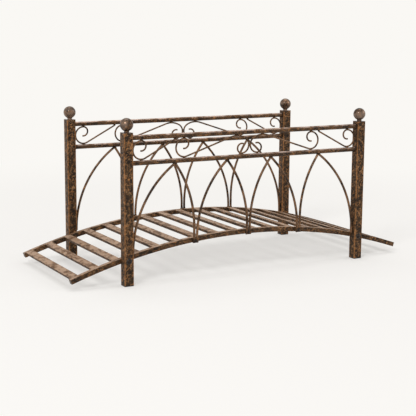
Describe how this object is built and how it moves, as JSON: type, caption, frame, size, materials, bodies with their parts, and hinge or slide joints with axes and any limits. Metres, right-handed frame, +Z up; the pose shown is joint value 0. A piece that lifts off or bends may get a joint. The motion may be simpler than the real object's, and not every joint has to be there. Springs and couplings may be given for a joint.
{
  "type": "arched garden bridge",
  "caption": "Small arched metal garden bridge with a slatted deck, four ball-topped posts, pointed-arch sides and scroll friezes.",
  "frame": {"origin": "on the ground, under the middle of the deck", "axes": "+X along the bridge, +Y across it away from the near side, +Z up"},
  "size_m": [1.0224, 0.4192, 0.4318],
  "materials": {
    "bronze_tube": "dark bronze paint, sponged with copper tones",
    "bronze_finial": "dark bronze paint, smooth, with copper mottling",
    "bronze_rail": "dark bronze paint, lighter along the top",
    "bronze_wire": "dark bronze paint",
    "bronze_slat": "dark bronze paint with a pale dusty sheen on top",
    "bronze_fixing": "dark bronze paint",
    "black_plug": "matte"
  },
  "bodies": {
    "root": {"post_near_left": "bronze_tube", "post_near_right": "bronze_tube", "post_far_left": "bronze_tube", "post_far_right": "bronze_tube", "finial_near_left": "bronze_finial", "finial_near_right": "bronze_finial", "finial_far_left": "bronze_finial", "finial_far_right": "bronze_finial", "top_rail_near": "bronze_rail", "second_rail_near": "bronze_rail", "top_rail_far": "bronze_rail", "second_rail_far": "bronze_rail", "scrolls_near_left": "bronze_wire", "scrolls_near_right": "bronze_wire", "scrolls_far_left": "bronze_wire", "scrolls_far_right": "bronze_wire", "arch_near_left_outer": "bronze_wire", "arch_near_left_inner": "bronze_wire", "arch_near_right_inner": "bronze_wire", "arch_near_right_outer": "bronze_wire", "arch_far_left_outer": "bronze_wire", "arch_far_left_inner": "bronze_wire", "arch_far_right_inner": "bronze_wire", "arch_far_right_outer": "bronze_wire", "deck_side_rail_near": "bronze_tube", "deck_side_rail_far": "bronze_tube", "slat_01": "bronze_slat", "slat_02": "bronze_slat", "slat_03": "bronze_slat", "slat_04": "bronze_slat", "slat_05": "bronze_slat", "slat_06": "bronze_slat", "slat_07": "bronze_slat", "slat_08": "bronze_slat", "slat_09": "bronze_slat", "slat_10": "bronze_slat", "slat_11": "bronze_slat", "slat_12": "bronze_slat", "slat_13": "bronze_slat", "slat_14": "bronze_slat", "slat_15": "bronze_slat", "slat_16": "bronze_slat", "slat_17": "bronze_slat", "slat_18": "bronze_slat", "arch_brackets_near": "bronze_fixing", "arch_brackets_far": "bronze_fixing", "side_rail_caps": "bronze_fixing", "post_bolts": "bronze_fixing", "arch_screws": "bronze_fixing", "post_foot_plugs": "black_plug"}
  },
  "joints": []
}
